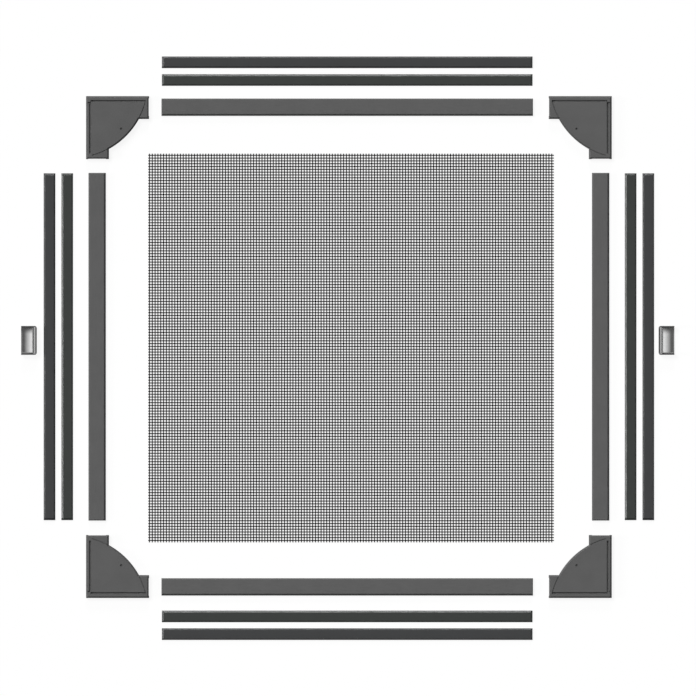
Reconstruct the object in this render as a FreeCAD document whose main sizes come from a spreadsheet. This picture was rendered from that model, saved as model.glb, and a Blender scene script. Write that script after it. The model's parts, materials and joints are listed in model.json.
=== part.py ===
import FreeCAD, Part
import os
import Sketcher

# Window screen frame kit, laid out flat: four rails, four corner caps, a square of
# insect mesh, two magnet strips for each side and two pull handles, in millimetres.
# The kit lies face up. X runs along the top rail, Y along the left rail, Z points up.
# The origin is under the middle of the layout.

SIZES = {
    # Rails: channelled profiles that form the frame
    "rail_across": 371.5,
    "rail_upright": 347.7,
    "rail_flange": 2.625,
    "rail_web": 2.4,
    "rail_near_bevel": 1.1,
    "rail_far_bevel": 1.8,
    "rail_bevel_drop": 2.8,
    "rail_end_bevel": 0.9,
    "rail_end_drop": 1.8,
    # Magnet strips: one lies in each rail's channel, one is stuck to the window
    "strip_width": 11.7,
    "strip_thick": 2.4,
    "strip_end_gap": 0.4,
    "strip_near_bevel": 2.0,
    "strip_near_drop": 1.2,
    "strip_far_bevel": 1.5,
    "strip_far_drop": 1.8,
    "strip_end_bevel": 2.0,
    "strip_end_drop": 1.0,
    "strip_bead": 2.1,
    "channel_side_gap": 0.2,
    "channel_depth_gap": 0.2,
    "channel_lead": 0.5,
    # Adhesive under the window strips and the handles
    "tape_thick": 0.8,
    "tape_inset": 0.6,
    # Corner caps: each takes two rail ends in sockets that are open at the back
    "corner_size": 63.0,
    "outer_wall": 2.2,
    "inner_wall": 2.95,
    "socket_gap": 0.2,
    "cap_plate": 2.4,
    "stop_setback": 3.3,
    "stop_rib": 1.6,
    "mesh_clearance": 0.2,
    "cap_bevel": 1.6,
    "cap_bevel_drop": 3.0,
    "fan_setback": 10.1,
    "fan_centre": 14.0,
    "fan_wall": 2.2,
    "fan_rib": 1.6,
    "groove_inset": 4.0,
    "groove_width": 1.9,
    "groove_depth": 1.6,
    "groove_start": 4.5,
    "groove_end": 3.2,
    "side_groove_inset": 3.1,
    "side_groove_start": 6.6,
    "side_groove_end": 5.6,
    "arc_groove_width": 0.9,
    "arc_groove_depth": 0.7,
    "notch_start": 1.6,
    "notch_level": 6.0,
    "notch_width": 1.1,
    "notch_depth": 1.4,
    "dimple_setback": 8.6,
    "dimple_aside": 1.8,
    "dimple_radius": 1.1,
    "dimple_depth": 1.4,
    # Mesh: a wall with yarn ridges above and below and square gaps through it
    "mesh_past_rail_across": 34.3,
    "mesh_past_rail_upright": 41.2,
    "mesh_wall": 0.5,
    "yarn_rise": 0.35,
    "yarn_width": 1.6,
    "gap_columns": 11,
    "gap_rows": 10,
    "gap_share": 0.6,
    # Handles: scoops with walls on three sides
    "handle_length": 29.0,
    "handle_width": 15.8,
    "handle_height": 8.0,
    "handle_side_wall": 1.5,
    "handle_rim": 2.9,
    "handle_rim_bevel": 1.2,
    "handle_rim_drop": 2.4,
    "handle_corner": 3.0,
    "handle_edge": 1.1,
    "scoop_floor": 1.4,
    "scoop_radius": 18.0,
    "scoop_middle": 2.5,
    # Layout: the clear spaces between the pieces as they lie
    "corner_gap": 14.1,
    "strip_gap_across": 13.85,
    "strip_gap_upright": 15.45,
    "pair_gap": 6.0,
    "handle_gap": 5.6,
    "frame_shift_x": 1.2,
    "frame_shift_y": 1.15,
    "across_shift": -0.5,
    "upright_shift": 1.5,
    "mesh_shift_x": 3.35,
    "mesh_shift_y": 0.2,
    "handle_shift": 7.8,
}

doc = FreeCAD.newDocument("window_screen_frame")
sheet = doc.addObject("Spreadsheet::Sheet", "Sizes")
for row, (alias, number) in enumerate(SIZES.items(), start=1):
    sheet.set(f"A{row}", alias.replace("_", " "))
    sheet.set(f"B{row}", str(number))
    sheet.setAlias(f"B{row}", alias)
doc.recompute()

# Lengths and places that several pieces share, as expressions on the sheet
CHANNEL_WIDTH = "(Sizes.strip_width + 2 * Sizes.channel_side_gap)"
CHANNEL_DEPTH = "(Sizes.strip_thick + Sizes.channel_depth_gap)"
RAIL_WIDTH = f"({CHANNEL_WIDTH} + 2 * Sizes.rail_flange)"
RAIL_HEIGHT = f"({CHANNEL_DEPTH} + Sizes.rail_web)"
RAIL_SEAT = "(Sizes.outer_wall + Sizes.socket_gap)"
ARM = f"({RAIL_SEAT} + {RAIL_WIDTH} + Sizes.socket_gap + Sizes.inner_wall)"
CAP_HEIGHT = f"({RAIL_HEIGHT} + Sizes.socket_gap + Sizes.cap_plate)"
MESH_THICK = "(Sizes.mesh_wall + 2 * Sizes.yarn_rise)"
FAN_REACH = "(Sizes.corner_size - Sizes.fan_setback + Sizes.fan_centre)"
FAN_RADIUS = f"sqrt({FAN_REACH}^2 + ({ARM} + Sizes.fan_centre)^2)"
REACH_X = "(Sizes.rail_across / 2 + Sizes.corner_gap + Sizes.corner_size)"
REACH_Y = "(Sizes.rail_upright / 2 + Sizes.corner_gap + Sizes.corner_size)"
RAIL_X = f"({REACH_X} - {RAIL_SEAT} - {RAIL_WIDTH} / 2)"
RAIL_Y = f"({REACH_Y} - {RAIL_SEAT} - {RAIL_WIDTH} / 2)"
HALF_SPAN = f"({RAIL_WIDTH} / 2 + Sizes.strip_width / 2)"
FRAME_STRIP_X = f"({RAIL_X} + {HALF_SPAN} + Sizes.strip_gap_upright)"
FRAME_STRIP_Y = f"({RAIL_Y} + {HALF_SPAN} + Sizes.strip_gap_across)"
WINDOW_STRIP_X = f"({FRAME_STRIP_X} + Sizes.strip_width + Sizes.pair_gap)"
WINDOW_STRIP_Y = f"({FRAME_STRIP_Y} + Sizes.strip_width + Sizes.pair_gap)"
HANDLE_X = f"({WINDOW_STRIP_X} + Sizes.strip_width / 2 + Sizes.handle_gap + Sizes.handle_width / 2)"

# Each side of the frame: its own length, its centre for a given reach, and its turn
SIDES = {
    "top": ("Sizes.rail_across", 1, False),
    "bottom": ("Sizes.rail_across", -1, False),
    "left": ("Sizes.rail_upright", -1, True),
    "right": ("Sizes.rail_upright", 1, True),
}


def value(expression):
    """The number that an expression on the sheet gives now."""
    return float(sheet.evalExpression(expression))


def place(piece, x, y, z="0", turn=0):
    """Put a piece at x, y, z, given as expressions, turned about Z by turn degrees."""
    up = FreeCAD.Vector(0, 0, 1)
    piece.Placement = FreeCAD.Placement(FreeCAD.Vector(), FreeCAD.Rotation(up, turn))
    for axis, expression in (("x", x), ("y", y), ("z", z)):
        piece.setExpression(f"Placement.Base.{axis}", expression)


def place_on_side(piece, side, reach_x, reach_y, z="0", shift_y="0"):
    """Put a long piece on one side of the layout, its near edge towards the top or left."""
    _, sign, upright = SIDES[side]
    if upright:
        place(piece, f"{sign} * {reach_x} + Sizes.frame_shift_x", "Sizes.upright_shift", z, 90)
    else:
        place(piece, "Sizes.across_shift", f"{sign} * {reach_y} + {shift_y}", z)


def new_body(label):
    body = doc.addObject("PartDesign::Body", label)
    body.Label = label
    return body


def sketch_on(body, role, offset="0"):
    """A sketch on one of the body's own planes, raised along its normal by offset."""
    sketch = body.newObject("Sketcher::SketchObject", body.Label + "_sketch")
    plane = next(item for item in body.Origin.OriginFeatures if item.Role == role)
    sketch.AttachmentSupport = [(plane, "")]
    sketch.MapMode = "FlatFace"
    sketch.setExpression("AttachmentOffset.Base.z", offset)
    return sketch


def hold(sketch, element, point, x, y):
    """Fix one point of a sketch element at x, y from the sketch's origin."""
    for kind, expression in (("DistanceX", x), ("DistanceY", y)):
        rule = Sketcher.Constraint(kind, -1, 1, element, point, value(expression))
        number = sketch.addConstraint(rule)
        sketch.setExpression(f"Constraints[{number}]", expression)


def outline(sketch, corners, arcs=None):
    """Close a loop through corners, each a pair of expressions.

    arcs maps the number of a corner to (radius, centre x, centre y): the edge that
    leaves that corner is then an arc of that radius instead of a line.
    """
    arcs = arcs or {}
    spots = [FreeCAD.Vector(value(x), value(y), 0) for x, y in corners]
    ends = []
    for number, (start, end) in enumerate(zip(spots, spots[1:] + spots[:1])):
        if number not in arcs:
            element = sketch.addGeometry(Part.LineSegment(start, end))
            ends.append((element, 1, 2))
            continue
        radius, centre_x, centre_y = arcs[number]
        centre = FreeCAD.Vector(value(centre_x), value(centre_y), 0)
        forward = (start - centre).cross(end - centre).z > 0
        first, last = (start, end) if forward else (end, start)
        middle = (first + last) / 2 - centre
        middle = centre + middle * (value(radius) / middle.Length)
        element = sketch.addGeometry(Part.Arc(first, middle, last))
        rule = sketch.addConstraint(Sketcher.Constraint("Radius", element, value(radius)))
        sketch.setExpression(f"Constraints[{rule}]", radius)
        ends.append((element, 1, 2) if forward else (element, 2, 1))
    for (element, _, end), (following, start, _) in zip(ends, ends[1:] + ends[:1]):
        sketch.addConstraint(Sketcher.Constraint("Coincident", element, end, following, start))
    for (element, start, _), (x, y) in zip(ends, corners):
        hold(sketch, element, start, x, y)
    return sketch


def box_outline(sketch, low_x, low_y, high_x, high_y):
    return outline(sketch, [(low_x, low_y), (high_x, low_y), (high_x, high_y), (low_x, high_y)])


def feature(body, kind, sketch, length, **settings):
    """Add a Pad or Pocket of a sketch, its length bound to an expression."""
    item = body.newObject(f"PartDesign::{kind}", f"{body.Label}_{kind.lower()}")
    item.Profile = sketch
    item.setExpression("Length", length)
    for name, setting in settings.items():
        setattr(item, name, setting)
    sketch.Visibility = False
    return item


def round_edges(body, radius, wanted):
    """Fillet the edges of the body's tip for which wanted(edge) is true."""
    doc.recompute()
    base = body.Tip
    names = [f"Edge{number}" for number, edge in enumerate(base.Shape.Edges, start=1) if wanted(edge)]
    item = body.newObject("PartDesign::Fillet", body.Label + "_fillet")
    item.Base = (base, names)
    item.setExpression("Radius", radius)
    return item


def bevel_ends(body, length, height, run, drop):
    """Slope both ends of a long piece down from its face: run along, drop in height."""
    sketch = sketch_on(body, "XZ_Plane")
    for sign in (-1, 1):
        end = f"{sign} * ({length}) / 2"
        inside = f"{sign} * (({length}) / 2 - {run})"
        outline(sketch, [(inside, height), (end, f"{height} - {drop}"), (end, height)])
    feature(body, "Pocket", sketch, f"2 * {RAIL_WIDTH}", SideType="Symmetric")


def make_rail(side):
    """A channelled profile with bevelled long edges; the magnet strip lies in its back."""
    length = SIDES[side][0]
    body = new_body(f"rail_{side}")
    half = f"{RAIL_WIDTH} / 2"
    channel = f"{CHANNEL_WIDTH} / 2"
    mouth = f"({channel} + Sizes.channel_lead)"
    top = RAIL_HEIGHT
    shoulder = f"{RAIL_HEIGHT} - Sizes.rail_bevel_drop"
    section = sketch_on(body, "YZ_Plane")
    outline(section, [
        (f"-{half}", "0"),
        (f"-{mouth}", "0"),
        (f"-{channel}", "Sizes.channel_lead"),
        (f"-{channel}", CHANNEL_DEPTH),
        (channel, CHANNEL_DEPTH),
        (channel, "Sizes.channel_lead"),
        (mouth, "0"),
        (half, "0"),
        (half, shoulder),
        (f"{half} - Sizes.rail_near_bevel", top),
        (f"Sizes.rail_far_bevel - {half}", top),
        (f"-{half}", shoulder),
    ])
    feature(body, "Pad", section, length, SideType="Symmetric")
    bevel_ends(body, length, top, "Sizes.rail_end_bevel", "Sizes.rail_end_drop")
    place_on_side(body, side, RAIL_X, RAIL_Y, shift_y="Sizes.frame_shift_y")
    return body


def make_strip(side, name, reach_x, reach_y, rounded):
    """A magnet strip: its near edge is bevelled, or rounded on the window's strips."""
    length = f"({SIDES[side][0]} - 2 * Sizes.strip_end_gap)"
    body = new_body(f"{name}_{side}")
    half = "Sizes.strip_width / 2"
    top = "Sizes.strip_thick"
    near_shoulder = "Sizes.strip_thick - Sizes.strip_near_drop"
    far_shoulder = "Sizes.strip_thick - Sizes.strip_far_drop"
    corners = [(f"-{half}", "0"), (half, "0")]
    if rounded:
        corners += [(half, top)]
    else:
        corners += [(half, near_shoulder), (f"{half} - Sizes.strip_near_bevel", top)]
    corners += [(f"Sizes.strip_far_bevel - {half}", top), (f"-{half}", far_shoulder)]
    feature(body, "Pad", outline(sketch_on(body, "YZ_Plane"), corners), length, SideType="Symmetric")
    if rounded:
        near = FreeCAD.Vector(0, value(half), value(top))
        bead = "min(Sizes.strip_bead; 0.9 * Sizes.strip_thick)"
        round_edges(body, bead, lambda edge: edge.CenterOfMass.isEqual(near, 0.001))
    bevel_ends(body, length, top, "Sizes.strip_end_bevel", "Sizes.strip_end_drop")
    place_on_side(body, side, reach_x, reach_y, "Sizes.tape_thick" if rounded else "0")
    return body


def make_tape(label, length, width):
    """A flat strip of adhesive, a little smaller than what it carries."""
    tape = doc.addObject("Part::Box", label)
    tape.Label = label
    tape.setExpression("Length", f"{length} - 2 * Sizes.tape_inset")
    tape.setExpression("Width", f"{width} - 2 * Sizes.tape_inset")
    tape.setExpression("Height", "Sizes.tape_thick")
    return tape


def make_side_tape(side):
    """The adhesive under one window strip, centred under it."""
    strip_length = f"({SIDES[side][0]} - 2 * Sizes.strip_end_gap)"
    _, sign, upright = SIDES[side]
    half_length = f"({strip_length} / 2 - Sizes.tape_inset)"
    half_width = "(Sizes.strip_width / 2 - Sizes.tape_inset)"
    if upright:
        tape = make_tape(f"adhesive_{side}", "Sizes.strip_width", strip_length)
        centre = f"{sign} * {WINDOW_STRIP_X} + Sizes.frame_shift_x"
        place(tape, f"{centre} - {half_width}", f"Sizes.upright_shift - {half_length}")
    else:
        tape = make_tape(f"adhesive_{side}", strip_length, "Sizes.strip_width")
        centre = f"{sign} * {WINDOW_STRIP_Y}"
        place(tape, f"Sizes.across_shift - {half_length}", f"{centre} - {half_width}")
    return tape


def fan_edge(inset, radius=FAN_RADIUS):
    """How far along an arm the fan's circle lies at a given inset from the outer side."""
    return f"(sqrt(({radius})^2 - ({inset} + Sizes.fan_centre)^2) - Sizes.fan_centre)"


def make_corner(vertical, horizontal, sign_x, sign_y):
    """A corner cap: an L of two sockets with a fan-shaped web between its arms.

    Points are given as (across, down) from the outer corner towards the inside of
    the frame, and the signs turn them for each of the four corners.
    """
    body = new_body(f"corner_{vertical}_{horizontal}")

    def turned(across, down):
        return f"{-sign_x} * ({across})", f"{-sign_y} * ({down})"

    def loop(sketch, points, arcs=None):
        placed = {}
        for number, radius in (arcs or {}).items():
            centre = turned("-Sizes.fan_centre", "-Sizes.fan_centre")
            placed[number] = (radius, *centre)
        return outline(sketch, [turned(*point) for point in points], placed)

    def rectangle(sketch, low, high):
        corners = [low, (high[0], low[1]), high, (low[0], high[1])]
        return loop(sketch, corners)

    size = "Sizes.corner_size"
    shape = [
        ("0", "0"), (size, "0"), (size, ARM), (fan_edge(ARM), ARM),
        (ARM, fan_edge(ARM)), (ARM, size), ("0", size),
    ]
    fan = {3: FAN_RADIUS}
    shoulder = f"({CAP_HEIGHT} - Sizes.cap_bevel_drop)"
    feature(body, "Pad", loop(sketch_on(body, "XY_Plane"), shape, fan), shoulder)
    top = loop(sketch_on(body, "XY_Plane", shoulder), shape, fan)
    crown = feature(body, "Pad", top, "Sizes.cap_bevel_drop")
    crown.setExpression("TaperAngle", "-atan(Sizes.cap_bevel / Sizes.cap_bevel_drop)")

    # Back: the inside stands back from the outer walls by the thickness of the mesh
    wall = "Sizes.outer_wall"
    beyond = f"({size} + Sizes.outer_wall)"
    relief = rectangle(sketch_on(body, "XY_Plane"), (wall, wall), (beyond, beyond))
    feature(body, "Pocket", relief, f"{MESH_THICK} + Sizes.mesh_clearance", Reversed=True)

    # Back: two rail sockets with stops, the space between them and the fan's two bays
    socket_in = f"({ARM} - Sizes.inner_wall)"
    stop = f"({ARM} + Sizes.stop_setback)"
    behind = f"({stop} - Sizes.stop_rib)"
    inner = f"({FAN_RADIUS} - Sizes.fan_wall)"
    rib = "(Sizes.fan_rib / sqrt(2))"
    diagonal = f"(sqrt(({inner}^2 - {rib}^2 / 2) / 2) - Sizes.fan_centre)"
    bay_end = fan_edge(ARM, inner)
    hollow = sketch_on(body, "XY_Plane")
    rectangle(hollow, (stop, wall), (beyond, socket_in))
    rectangle(hollow, (wall, stop), (socket_in, beyond))
    loop(hollow, [
        (wall, wall), (behind, wall), (behind, socket_in),
        (socket_in, socket_in), (socket_in, behind), (wall, behind),
    ])
    loop(hollow, [
        (f"{ARM} + {rib}", ARM), (bay_end, ARM),
        (f"{diagonal} + {rib} / 2", f"{diagonal} - {rib} / 2"),
    ], {1: inner})
    loop(hollow, [
        (ARM, f"{ARM} + {rib}"), (f"{diagonal} - {rib} / 2", f"{diagonal} + {rib} / 2"),
        (ARM, bay_end),
    ], {1: inner})
    feature(body, "Pocket", hollow, f"{CAP_HEIGHT} - Sizes.cap_plate", Reversed=True)

    # Face: a sunk line inside each outer side
    lines = sketch_on(body, "XY_Plane", CAP_HEIGHT)
    rectangle(lines, ("Sizes.groove_start", "Sizes.groove_inset"),
              (f"{size} - Sizes.groove_end", "Sizes.groove_inset + Sizes.groove_width"))
    rectangle(lines, ("Sizes.side_groove_inset", "Sizes.side_groove_start"),
              ("Sizes.side_groove_inset + Sizes.groove_width",
               f"{size} - Sizes.side_groove_end"))
    feature(body, "Pocket", lines, "Sizes.groove_depth")

    # Face: the fan's edge carried on over both arms as a finer line
    low = "(Sizes.groove_inset + Sizes.groove_width)"
    high = f"({ARM} - Sizes.cap_bevel)"
    near = f"({FAN_RADIUS} - Sizes.arc_groove_width)"
    sector = [
        (fan_edge(low), low), (fan_edge(high), high),
        (fan_edge(high, near), high), (fan_edge(low, near), low),
    ]
    both = {0: FAN_RADIUS, 2: near}
    arcs = loop(sketch_on(body, "XY_Plane", CAP_HEIGHT), sector, both)
    loop(arcs, [(down, across) for across, down in sector], both)
    feature(body, "Pocket", arcs, "Sizes.arc_groove_depth")

    # Face: a short notch through the rim, and the moulding's gate dimple near the
    # middle of the fan's edge, a little to one side of the diagonal
    notch = sketch_on(body, "XY_Plane", CAP_HEIGHT)
    rectangle(notch, ("Sizes.notch_start", "Sizes.notch_level"),
              ("Sizes.side_groove_inset + Sizes.groove_width",
               "Sizes.notch_level + Sizes.notch_width"))
    feature(body, "Pocket", notch, "Sizes.notch_depth")
    dimple = sketch_on(body, "XY_Plane", CAP_HEIGHT)
    reach = f"({FAN_RADIUS} - Sizes.dimple_setback)"
    across, down = turned(f"({reach} + Sizes.dimple_aside) / sqrt(2) - Sizes.fan_centre",
                          f"({reach} - Sizes.dimple_aside) / sqrt(2) - Sizes.fan_centre")
    centre = FreeCAD.Vector(value(across), value(down), 0)
    up = FreeCAD.Vector(0, 0, 1)
    dimple.addGeometry(Part.Circle(centre, up, value("Sizes.dimple_radius")))
    dimple.addConstraint(Sketcher.Constraint("Radius", 0, value("Sizes.dimple_radius")))
    dimple.setExpression("Constraints[0]", "Sizes.dimple_radius")
    hold(dimple, 0, 3, across, down)
    feature(body, "Pocket", dimple, "Sizes.dimple_depth")
    place(body, f"{sign_x} * {REACH_X} + Sizes.frame_shift_x",
          f"{sign_y} * {REACH_Y} + Sizes.frame_shift_y")
    return body


def repeat(body, item, first, second=None):
    """Repeat a feature along one or two axes, each given as (role, length, copies)."""
    pattern = body.newObject("PartDesign::LinearPattern", body.Label + "_pattern")
    pattern.Originals = [item]
    for ending, line in (("", first), ("2", second)):
        if line is None:
            continue
        role, length, copies = line
        axis = next(part for part in body.Origin.OriginFeatures if part.Role == role)
        setattr(pattern, "Direction" + ending, (axis, [""]))
        pattern.setExpression("Length" + ending, length)
        pattern.setExpression("Occurrences" + ending, copies)
    body.Tip = pattern
    return pattern


def make_mesh():
    """The insect mesh: yarn ridges run up it above and across it below its wall."""
    body = new_body("screen_mesh")
    width = "(Sizes.rail_across + Sizes.mesh_past_rail_across)"
    height = "(Sizes.rail_upright + Sizes.mesh_past_rail_upright)"
    cell_x = f"({width} / Sizes.gap_columns)"
    cell_y = f"({height} / Sizes.gap_rows)"
    margin_x = f"({cell_x} * (1 - Sizes.gap_share) / 2)"
    margin_y = f"({cell_y} * (1 - Sizes.gap_share) / 2)"
    left, low = f"-{width} / 2", f"-{height} / 2"
    right, high = f"{width} / 2", f"{height} / 2"
    half_yarn = "Sizes.yarn_width / 2"
    wall = box_outline(sketch_on(body, "XY_Plane", "Sizes.yarn_rise"), left, low, right, high)
    feature(body, "Pad", wall, "Sizes.mesh_wall")
    along_x = ("X_Axis", f"{width} - {cell_x}", "Sizes.gap_columns")
    along_y = ("Y_Axis", f"{height} - {cell_y}", "Sizes.gap_rows")

    upper = sketch_on(body, "XY_Plane", "Sizes.yarn_rise + Sizes.mesh_wall")
    for middle in (f"({left} + {margin_x} / 2)", f"({left} + {cell_x} - {margin_x} / 2)"):
        box_outline(upper, f"{middle} - {half_yarn}", low, f"{middle} + {half_yarn}", high)
    repeat(body, feature(body, "Pad", upper, "Sizes.yarn_rise"), along_x)
    lower = sketch_on(body, "XY_Plane")
    for middle in (f"({low} + {margin_y} / 2)", f"({low} + {cell_y} - {margin_y} / 2)"):
        box_outline(lower, left, f"{middle} - {half_yarn}", right, f"{middle} + {half_yarn}")
    repeat(body, feature(body, "Pad", lower, "Sizes.yarn_rise"), along_y)

    gap = box_outline(sketch_on(body, "XY_Plane"), f"{left} + {margin_x}", f"{low} + {margin_y}",
                      f"{left} + {cell_x} - {margin_x}", f"{low} + {cell_y} - {margin_y}")
    hole = feature(body, "Pocket", gap, MESH_THICK, Reversed=True)
    repeat(body, hole, along_x, along_y)
    place(body, "Sizes.mesh_shift_x", "Sizes.mesh_shift_y")
    return body


def make_handle(side, sign):
    """A finger scoop: open on its outer side, with a raised rim towards the frame."""
    body = new_body(f"handle_{side}")
    half_width, half_length = "Sizes.handle_width / 2", "Sizes.handle_length / 2"
    top = "Sizes.handle_height"
    block = box_outline(sketch_on(body, "XY_Plane"), f"-{half_width}", f"-{half_length}",
                        half_width, half_length)
    feature(body, "Pad", block, top)
    rim = value(half_width)

    def upright_at_rim(edge):
        return edge.BoundBox.ZLength > 1 and abs(edge.CenterOfMass.x - rim) < 0.001

    round_edges(body, "Sizes.handle_corner", upright_at_rim)

    def upper_outside(edge):
        box = edge.BoundBox
        return box.ZMin > value(top) - 0.001 and box.XMax > 0.001 - rim

    round_edges(body, "Sizes.handle_edge", upper_outside)
    wall_foot = f"{half_width} - Sizes.handle_rim - Sizes.handle_rim_bevel"
    scoop_x = f"(Sizes.scoop_middle - {half_width})"
    scoop_z = "(Sizes.scoop_floor + Sizes.scoop_radius)"
    outside = f"-{half_width} - Sizes.handle_side_wall"

    def floor_at(x):
        return f"{scoop_z} - sqrt(Sizes.scoop_radius^2 - ({x} - {scoop_x})^2)"

    profile = outline(sketch_on(body, "XZ_Plane"), [
        (outside, floor_at(outside)),
        (wall_foot, floor_at(wall_foot)),
        (wall_foot, f"{top} - Sizes.handle_rim_drop"),
        (f"{half_width} - Sizes.handle_rim", top),
        (f"{half_width} - Sizes.handle_rim", f"{top} + Sizes.handle_edge"),
        (outside, f"{top} + Sizes.handle_edge"),
    ], {0: ("Sizes.scoop_radius", scoop_x, scoop_z)})
    feature(body, "Pocket", profile, "Sizes.handle_length - 2 * Sizes.handle_side_wall",
            SideType="Symmetric")
    centre = f"{sign} * {HANDLE_X}"
    place(body, centre, "Sizes.handle_shift", "Sizes.tape_thick", 0 if sign < 0 else 180)
    pad = make_tape(f"handle_pad_{side}", "Sizes.handle_width", "Sizes.handle_length")
    place(pad, f"{centre} - {half_width} + Sizes.tape_inset",
          f"Sizes.handle_shift - {half_length} + Sizes.tape_inset")
    return [body, pad]


def check_document():
    """Stop if any object failed, or if a pocket took nothing away."""
    doc.recompute()
    for item in doc.Objects:
        if {"Invalid", "Error"} & set(item.State):
            raise RuntimeError(f"{item.Name} failed: {item.getStatusString()}")
        if item.TypeId == "PartDesign::Pocket":
            if item.Shape.Volume >= item.BaseFeature.Shape.Volume:
                raise RuntimeError(f"{item.Name} cuts nothing")


def write_pieces(pieces):
    """Check each piece's shape and write it to a file of its own."""
    os.makedirs("parts", exist_ok=True)
    for piece in pieces:
        if piece.Shape.isNull() or not piece.Shape.isValid():
            raise RuntimeError(f"{piece.Label} has no valid shape")
    for piece in pieces:
        piece.Shape.exportStep(f"parts/{piece.Label}.step")
        box = piece.Shape.BoundBox
        print(f"{piece.Label}: {piece.Shape.Volume:.1f} mm3, {len(piece.Shape.Solids)} solid, "
              f"x {box.XMin:.2f} to {box.XMax:.2f}, y {box.YMin:.2f} to {box.YMax:.2f}, "
              f"z {box.ZMin:.2f} to {box.ZMax:.2f}")


pieces = []
for side in SIDES:
    pieces.append(make_rail(side))
    pieces.append(make_strip(side, "frame_magnet", FRAME_STRIP_X, FRAME_STRIP_Y, False))
    pieces.append(make_strip(side, "window_magnet", WINDOW_STRIP_X, WINDOW_STRIP_Y, True))
    pieces.append(make_side_tape(side))
for vertical, sign_y in (("top", 1), ("bottom", -1)):
    for horizontal, sign_x in (("left", -1), ("right", 1)):
        pieces.append(make_corner(vertical, horizontal, sign_x, sign_y))
pieces.append(make_mesh())
pieces += make_handle("left", -1) + make_handle("right", 1)
check_document()
write_pieces(pieces)
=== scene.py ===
"""The look of a magnetic insect-screen kit for a window, laid out flat and seen from above.

Every piece lies face up on a white table: four rails, four corner caps, the mesh, eight
magnet strips, two pull handles and their adhesive. Places are metres and come from the
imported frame; sizes that the frame doesn't hold are named fields in millimetres.
"""

import json
import logging
import math
from dataclasses import dataclass
from enum import Enum

import bmesh
import bpy
import numpy as np
from bpy.types import Collection, Material, Node, NodeSocket, NodeTree, Object
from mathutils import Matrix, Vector

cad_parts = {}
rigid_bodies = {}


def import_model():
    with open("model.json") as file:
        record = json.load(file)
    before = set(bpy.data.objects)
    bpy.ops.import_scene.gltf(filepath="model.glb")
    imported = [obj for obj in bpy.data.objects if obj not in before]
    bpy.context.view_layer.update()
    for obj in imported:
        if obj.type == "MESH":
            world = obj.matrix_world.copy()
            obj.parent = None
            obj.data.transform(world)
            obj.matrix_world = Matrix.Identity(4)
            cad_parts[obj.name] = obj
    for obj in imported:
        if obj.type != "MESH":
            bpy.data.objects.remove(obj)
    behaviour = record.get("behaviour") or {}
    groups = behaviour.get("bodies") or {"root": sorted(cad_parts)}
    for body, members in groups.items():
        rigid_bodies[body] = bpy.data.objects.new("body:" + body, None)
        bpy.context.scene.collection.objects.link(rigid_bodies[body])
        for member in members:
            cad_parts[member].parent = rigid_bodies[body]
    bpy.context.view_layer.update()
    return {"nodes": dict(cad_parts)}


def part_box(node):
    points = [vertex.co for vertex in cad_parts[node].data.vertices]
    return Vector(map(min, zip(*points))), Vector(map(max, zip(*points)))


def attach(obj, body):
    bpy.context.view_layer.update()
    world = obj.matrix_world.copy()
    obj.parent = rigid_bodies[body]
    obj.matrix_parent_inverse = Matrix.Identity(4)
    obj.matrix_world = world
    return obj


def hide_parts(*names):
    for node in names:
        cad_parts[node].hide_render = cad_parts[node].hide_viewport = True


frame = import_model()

logging.basicConfig(level=logging.INFO, format="%(levelname)s %(message)s")
LOG = logging.getLogger("window_screen")

MM = 0.001
BODY = "root"

# A radius too small to see, for a corner that stays sharp
SHARP = 1e-9
# Most of a noise pattern's values lie in the first of these, and of two patterns mixed in
# the second, so they are spread from there to the whole way from 0 to 1
NOISE_SPAN = (0.3, 0.7)
MIXED_SPAN = (0.38, 0.62)
# Pointiness of an edge where wear begins and where it is full
WEAR_SPAN = (0.51, 0.58)
# Upward part of the normal where a face stops being flat and where it is a full slope
SLOPE_SPAN = (0.99, 0.94)
# Cross-sections of a profile near its end, as shares of the run of the end's slope
END_SHARES = (0.0, 0.25, 0.5, 0.75, 0.94, 1.0, 1.06, 1.3)
# Those around its middle, as shares of its length
MIDDLE_SHARES = (-0.25, 0.0, 0.25)


class Side(Enum):
    """The four sides of the layout; the value is the ending of each node's name."""

    TOP = "top"
    BOTTOM = "bottom"
    LEFT = "left"
    RIGHT = "right"

    @property
    def upright(self) -> bool:
        """True where the side's pieces run along Y."""
        return self in (Side.LEFT, Side.RIGHT)


class Yarn(Enum):
    """The two yarn directions of the mesh."""

    WARP = "warp"
    WEFT = "weft"


def srgb(code: str) -> tuple[float, float, float, float]:
    """Turn an sRGB hex colour into linear red, green, blue and alpha.

    A channel c becomes c/12.92 below 0.04045, and ((c + 0.055)/1.055)^2.4 above it.

    Args:
        code: six hex digits, such as "5c5c5c".

    Returns:
        The linear colour, with an alpha of 1.
    """
    parts = np.array([int(code[i:i + 2], 16) for i in (0, 2, 4)]) / 255
    linear = np.where(parts <= 0.04045, parts / 12.92, ((parts + 0.055) / 1.055) ** 2.4)
    return (*linear.tolist(), 1.0)


def shade(code: str, share: float) -> tuple[float, float, float, float]:
    """A hex colour made lighter or darker by a share of its own brightness."""
    return (*(np.array(srgb(code)[:3]) * (1 + share)).tolist(), 1.0)


def per_mm(size_mm: float) -> float:
    """Scale of a noise pattern whose features are size_mm wide, on coordinates in metres."""
    return 1.0 / (size_mm * MM)


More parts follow.
